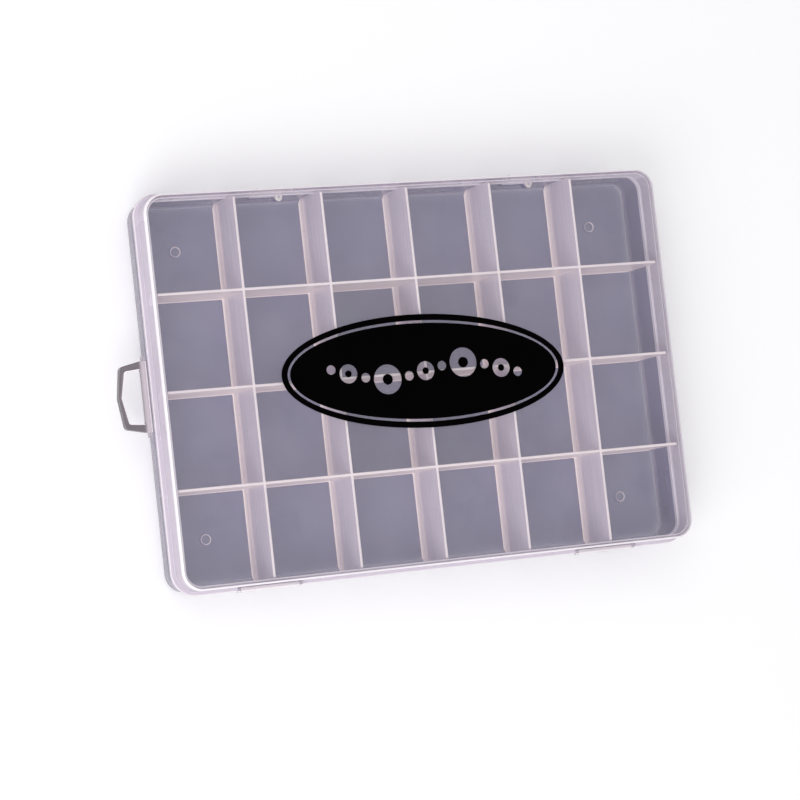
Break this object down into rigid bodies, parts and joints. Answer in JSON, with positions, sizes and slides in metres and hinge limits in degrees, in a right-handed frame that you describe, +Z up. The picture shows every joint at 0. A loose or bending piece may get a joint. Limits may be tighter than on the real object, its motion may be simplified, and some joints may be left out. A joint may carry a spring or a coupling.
{
  "type": "compartment box",
  "caption": "Flat clear compartment box for beads: tray with a fixed divider grid, one hinged lid with two front latches, and a fold-out hanging loop.",
  "frame": {"origin": "centre of the plane that the feet stand on, below the middle of the tray", "axes": "+X along the long side, away from the hanging loop; +Y from the latches to the hinges; +Z up through the lid"},
  "size_m": [0.201, 0.1327, 0.0226],
  "materials": {
    "clear_plastic": "clear polypropylene with a faint smoke-lilac tint",
    "lid_plastic": "clear polypropylene, glossy",
    "milky_plastic": "the same plastic seen through its thickness, milky",
    "latch_plastic": "clear polypropylene, faintly frosted",
    "pin_plastic": "natural white plastic",
    "loop_plastic": "clear plastic, grey in its thickness",
    "label_vinyl": "flat black vinyl"
  },
  "bodies": {
    "tray": {"tray": "clear_plastic", "long_divider_1": "milky_plastic", "long_divider_2": "milky_plastic", "long_divider_3": "milky_plastic", "cross_divider_1": "milky_plastic", "cross_divider_2": "milky_plastic", "cross_divider_3": "milky_plastic", "cross_divider_4": "milky_plastic", "cross_divider_5": "milky_plastic", "hinge_pin_left": "pin_plastic", "hinge_pin_right": "pin_plastic"},
    "lid": {"lid": "lid_plastic", "oval_label": "label_vinyl"},
    "latch_left": {"latch_left": "latch_plastic"},
    "latch_right": {"latch_right": "latch_plastic"},
    "hanging_loop": {"hanging_loop": "loop_plastic"}
  },
  "joints": [
    {"name": "lid_hinge", "type": "hinge", "parent": "tray", "child": "lid", "pos_m": [0, 0.065, 0.0149], "axis": [-1, 0, 0], "range_deg": [0, 130]},
    {"name": "latch_left_hinge", "type": "hinge", "parent": "lid", "child": "latch_left", "pos_m": [-0.062, -0.06575, 0.0151], "axis": [-1, 0, 0], "range_deg": [0, 100]},
    {"name": "latch_right_hinge", "type": "hinge", "parent": "lid", "child": "latch_right", "pos_m": [0.062, -0.06575, 0.0151], "axis": [-1, 0, 0], "range_deg": [0, 100]},
    {"name": "loop_hinge", "type": "hinge", "parent": "tray", "child": "hanging_loop", "pos_m": [-0.0962, 0, 0.0116], "axis": [0, 1, 0], "range_deg": [-90, 90]}
  ]
}
